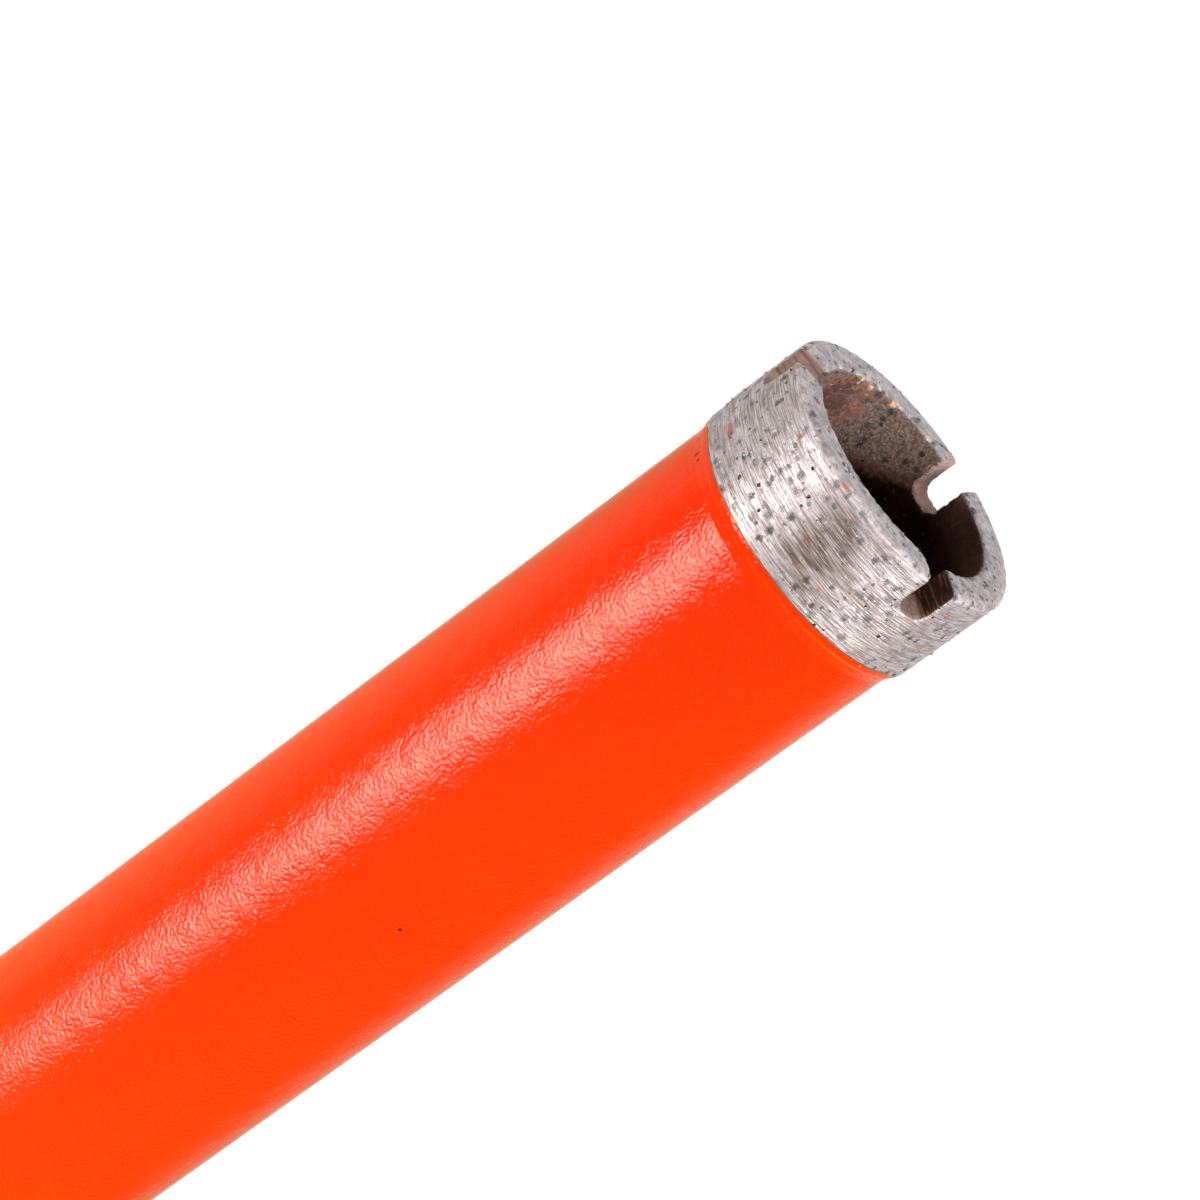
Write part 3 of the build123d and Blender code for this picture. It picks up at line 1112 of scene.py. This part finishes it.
def weld_outline(angle):
    """The bead at an angle, from the hub's collar up to the tube, with its ripple."""
    line = []
    for k in range(weld_points):
        t = k / (weld_points - 1)
        phase = ripple_count * angle + 2.2 * math.sin(math.pi * t) + 0.8 * ring_noise(angle, 3, 9.0)
        ripple = ripple_height * math.sin(math.pi * t) * (abs(math.sin(phase / 2)) - 0.6)
        bulge = weld_bulge * math.sin(math.pi * t) + ripple
        radius = weld_foot_radius - weld_leg * t
        height = hub_top + weld_leg * t
        line.append((radius + bulge * each_way, height + bulge * each_way * (1 - t)))
    return line + [(barrel_radius - film, hub_top + weld_leg), (barrel_radius - film, hub_top)]


weld_mesh = turned_skin("weld_bead_rippled", weld_outline, 2 * ring_steps)
weld = add_piece("weld_bead_rippled", weld_mesh, orange_enamel)
print("weld bead:", len(weld_mesh.polygons), "faces")
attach(weld, "root")
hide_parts("weld_bead")

# %% [markdown]
# ## Piece: the hub and its thread
# The hub screws onto the drill's spindle: a hexagon for the spanner, a shoulder, and a coarse
# thread inside. The solid leaves its bore plain, at the size of the thread's crests, because a
# thread there would cost thousands of faces. Here a copy of it has that bore opened out to the
# thread's root, and its edges are rounded as a forging's are. The thread itself is one ridge that
# follows a spiral, which is what Geometry Nodes are for: a spiral line, a ridge's outline carried
# along it, and both ends tapered into the wall.

# %% The hub
thread_pitch = 25.4 / 7 * mm
thread_root_radius = 31.75 / 2 * mm
thread_crest_radius = thread_root_radius - 1.0825 / 2 * thread_pitch
thread_length = 27 * mm
root_clearance = 0.02 * mm
bare_within = 16.9 * mm
bare_up_to = 33 * mm
bare_end = 0.4 * mm
hub_mesh = merged_copy(solids["hub"], "painted_hub")
work = bmesh.new()
work.from_mesh(hub_mesh)
opened = 0
for vert in work.verts:
    radius = math.hypot(vert.co.x, vert.co.y)
    if abs(radius - thread_crest_radius) < 0.05 * mm and vert.co.z < thread_length + 0.5 * mm:
        share = (thread_root_radius - root_clearance) / radius
        vert.co.x *= share
        vert.co.y *= share
        opened += 1
bmesh.ops.dissolve_limit(work, angle_limit=math.radians(0.6), verts=work.verts, edges=work.edges)
work.to_mesh(hub_mesh)
work.free()
print("bore points opened out:", opened)
raw_hub = add_piece("raw_hub", hub_mesh)
rounding = raw_hub.modifiers.new("rounding", "BEVEL")
rounding.width = 0.25 * mm
rounding.segments = 2
rounding.limit_method = "ANGLE"
rounding.angle_limit = math.radians(25)
hub_mesh = settled_mesh(raw_hub, "painted_hub")
hub = add_piece("painted_hub", hub_mesh, orange_enamel, bare_steel)
hub_mesh.shade_smooth()
hub_mesh.set_sharp_from_angle(angle=math.radians(30))
for face in hub_mesh.polygons:
    middle = face.center
    inside = math.hypot(middle.x, middle.y) < bare_within and middle.z < bare_up_to
    face.material_index = 1 if inside or middle.z < bare_end else 0
print("hub:", len(hub_mesh.polygons), "faces")
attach(hub, "root")
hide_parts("hub")

# %% The thread
spiral_ridge, given, out = new_group(
    "spiral_ridge",
    {
        "Turns": ("Float", None),
        "Radius": ("Float", None),
        "Height": ("Float", None),
        "Pitch": ("Float", None),
        "Ridge": ("Float", None),
        "Sunk": ("Float", None),
        "Finish": ("Material", None),
    },
    {"Thread": "Geometry"},
    "GeometryNodeTree",
)
line_values = {
    "Resolution": 72,
    "Rotations": given["Turns"],
    "Start Radius": given["Radius"],
    "End Radius": given["Radius"],
    "Height": given["Height"],
}
line = add_grower(spiral_ridge, "GeometryNodeCurveSpiral", line_values)
upright = add_grower(spiral_ridge, "GeometryNodeSetCurveNormal", {"Curve": line}, {"mode": "Z_UP"})
along = add_node(spiral_ridge, "GeometryNodeSplineParameter").outputs["Factor"]
from_end = calc(spiral_ridge, "MINIMUM", along, rest_of(spiral_ridge, along))
taper = step_between(spiral_ridge, from_end, 0.0, 0.03, 0.02, 1.0)
profile = add_node(spiral_ridge, "GeometryNodeCurvePrimitiveQuadrilateral", {"mode": "POINTS"})
half_root = times(spiral_ridge, given["Pitch"], 7 / 16)
half_crest = times(spiral_ridge, given["Pitch"], 1 / 8)
corners = (
    ("Point 1", given["Sunk"], half_root, 1),
    ("Point 2", given["Sunk"], half_root, -1),
    ("Point 3", given["Ridge"], half_crest, -1),
    ("Point 4", given["Ridge"], half_crest, 1),
)
for label, inward, half, side in corners:
    corner = add_grower(spiral_ridge, "ShaderNodeCombineXYZ", {0: inward, 1: times(spiral_ridge, half, side)})
    spiral_ridge.links.new(corner, profile.inputs[label])
swept = add_grower(
    spiral_ridge,
    "GeometryNodeCurveToMesh",
    {"Curve": upright, "Profile Curve": profile.outputs[0], "Scale": taper, "Fill Caps": True},
)
finish_tree(spiral_ridge, swept, given["Finish"], out)
print("tree:", spiral_ridge.name)

# %% Cut the thread into the hub
thread_start = 1.75 * mm
thread_end = thread_length - 0.6 * mm
thread_turns = (thread_end - thread_start) / thread_pitch
thread_mesh = grown(
    "spindle_thread",
    bpy.data.meshes.new("empty_start"),
    spiral_ridge,
    {
        "Turns": thread_turns,
        "Radius": thread_root_radius,
        "Height": thread_end - thread_start,
        "Pitch": thread_pitch,
        "Ridge": thread_root_radius - thread_crest_radius,
        "Sunk": -0.04 * mm,
        "Finish": bare_steel,
    },
)
thread_mesh.transform(Matrix.Translation((0, 0, thread_start)))
thread = add_piece("spindle_thread", thread_mesh)
reach = [math.hypot(v.co.x, v.co.y) for v in thread_mesh.vertices]
print(f"thread: {thread_turns:.1f} turns, radius {1000 * min(reach):.2f} to {1000 * max(reach):.2f} mm")
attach(thread, "root")

# %% [markdown]
# ## The studio
# The bit stands on its hub on a pale floor. The light is soft and plain: an even grey all round,
# one tall panel beside the camera, whose reflection is the long stripe down the tube, and one
# overhead panel that opens the bore and lights the end. The lamps are only as strong as a colour
# needs to look like itself. White behind the bit comes from what the camera's rays see, and from
# what mirror rays see, not from more light, and the floor still holds the bit's shadow.

# %% Floor and surroundings
room_light = 0.42
white = colour(1, 1, 1)
paper_grey = colour(0.8, 0.8, 0.8)
paper_glow = 0.66
floor_radius = 4.0
floor_sides = 96


def seen_directly(tree):
    """1 for rays from the camera, a mirror or a glass, and 0 for the soft light that fills the room."""
    ray = add_node(tree, "ShaderNodeLightPath").outputs
    share = larger(tree, ray["Is Camera Ray"], ray["Is Glossy Ray"])
    return larger(tree, share, ray["Is Transmission Ray"])


def seen_as(tree, otherwise, directly, output_kind):
    """A tree's output: one shader for rays that see it directly, and another for all the rest."""
    inputs = {0: seen_directly(tree), 1: otherwise, 2: directly}
    both = add_node(tree, "ShaderNodeMixShader", None, inputs)
    add_node(tree, output_kind, None, {0: both.outputs[0]})


room = bpy.data.worlds.new("room")
bpy.context.scene.world = room
room.use_nodes = True
tree = room.node_tree
tree.nodes.clear()
soft_room = add_node(tree, "ShaderNodeBackground", None, {"Color": white, "Strength": room_light})
white_room = add_node(tree, "ShaderNodeBackground", None, {"Color": white, "Strength": 1.0})
seen_as(tree, soft_room.outputs[0], white_room.outputs[0], "ShaderNodeOutputWorld")

floor_mesh = bpy.data.meshes.new("studio_floor")
floor_shape = bmesh.new()
bmesh.ops.create_circle(floor_shape, cap_ends=True, radius=floor_radius, segments=floor_sides)
floor_shape.to_mesh(floor_mesh)
floor_shape.free()
studio_floor, tree = empty_material("studio_floor")
paper = add_node(tree, "ShaderNodeBsdfDiffuse", None, {"Color": paper_grey}).outputs[0]
glow = add_node(tree, "ShaderNodeEmission", None, {"Color": white, "Strength": paper_glow}).outputs[0]
bright_paper = add_node(tree, "ShaderNodeAddShader", None, {0: paper, 1: glow}).outputs[0]
seen_as(tree, paper, bright_paper, "ShaderNodeOutputMaterial")
floor = add_piece("studio_floor", floor_mesh, studio_floor)
floor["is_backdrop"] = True
print("floor and room ready")

# %% Lamps


def studio_place(turn, distance, height):
    """A place in the studio: turn is degrees round the tool from the camera's side."""
    angle = camera_side + math.radians(turn)
    return Vector((distance * math.cos(angle), distance * math.sin(angle), height))


def panel_lamp(name, place, aim, width, tall, power, spread=180):
    """A soft rectangular lamp, upright, that the camera doesn't see; a low spread fades off its axis."""
    data = bpy.data.lights.new(name, "AREA")
    data.shape = "RECTANGLE"
    data.size = width
    data.size_y = tall
    data.energy = power
    data.spread = math.radians(spread)
    lamp = bpy.data.objects.new(name, data)
    lamp.matrix_world = camera_matrix(place, aim, 0.0)
    lamp.visible_camera = False
    bpy.context.collection.objects.link(lamp)
    return lamp


tube_middle = Vector((0, 0, 0.19))
near_crown = Vector((0, 0, 0.40))
beside = studio_place(-41, 0.40, tube_middle.z)
overhead = studio_place(62, 0.75, 0.68)
side_panel = panel_lamp("side_panel", beside, tube_middle, width=0.21, tall=0.37, power=0.74, spread=70)
top_panel = panel_lamp("top_panel", overhead, near_crown, width=0.5, tall=0.32, power=5.5)
print("lamps:", side_panel.name, top_panel.name)

# %% A shaded card
# The card stands round the bit. Each shade is a turn from the camera's side and how pale it is there.
card_reach = 0.46
card_foot = 0.001
middle_shade = 0.01
card_end = 165
card_top = 0.38
card_shades = (
    (-165, 0.52),
    (-140, 0.34),
    (-120, 0.42),
    (-104, 0.56),
    (-92, 0.36),
    (-84, 0.02),
    (112, 0.005),
    (125, 0.07),
    (140, 0.34),
    (165, 0.50),
)
card_step = 5


def card_shade(turn):
    """How pale the card is at a turn from the camera's side, between the two nearest of its shades."""
    return float(np.interp(turn, [at for at, shade in card_shades], [shade for at, shade in card_shades]))


card_shape = bmesh.new()
middle_low = card_shape.verts.new((0, 0, card_foot))
edges = []
shades = [middle_shade]
for turn in range(-card_end, card_end + 1, card_step):
    foot = studio_place(turn, card_reach, card_foot)
    edges.append((card_shape.verts.new(foot), card_shape.verts.new((foot.x, foot.y, card_top))))
    shades += [card_shade(turn)] * 2
for (low, high), (next_low, next_high) in zip(edges, edges[1:]):
    card_shape.faces.new((low, next_low, next_high, high))
    card_shape.faces.new((middle_low, next_low, low))
card_mesh = bpy.data.meshes.new("shaded_card")
card_shape.to_mesh(card_mesh)
card_shape.free()
store_mask(card_mesh, "shade", np.array(shades))
shaded_card, tree = empty_material("shaded_card")
matt = add_node(tree, "ShaderNodeBsdfDiffuse", None, {"Color": mask(tree, "shade")})
add_node(tree, "ShaderNodeOutputMaterial", None, {0: matt.outputs[0]})
card = add_piece("shaded_card", card_mesh, shaded_card)
card.visible_camera = False
card.visible_diffuse = False
card.visible_shadow = False
card.visible_transmission = False
card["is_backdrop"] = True
print("shaded card ready")

# %% [markdown]
# ## Sizes, and the end
# The dressed bit must be the size of its solids, so both boxes are printed side by side.

dressed_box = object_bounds()
for axis, name in enumerate("xyz"):
    solid = solid_box[1][axis] - solid_box[0][axis]
    dressed_side = dressed_box[1][axis] - dressed_box[0][axis]
    print(f"{name}: solids {1000 * solid:.2f} mm, dressed {1000 * dressed_side:.2f} mm")
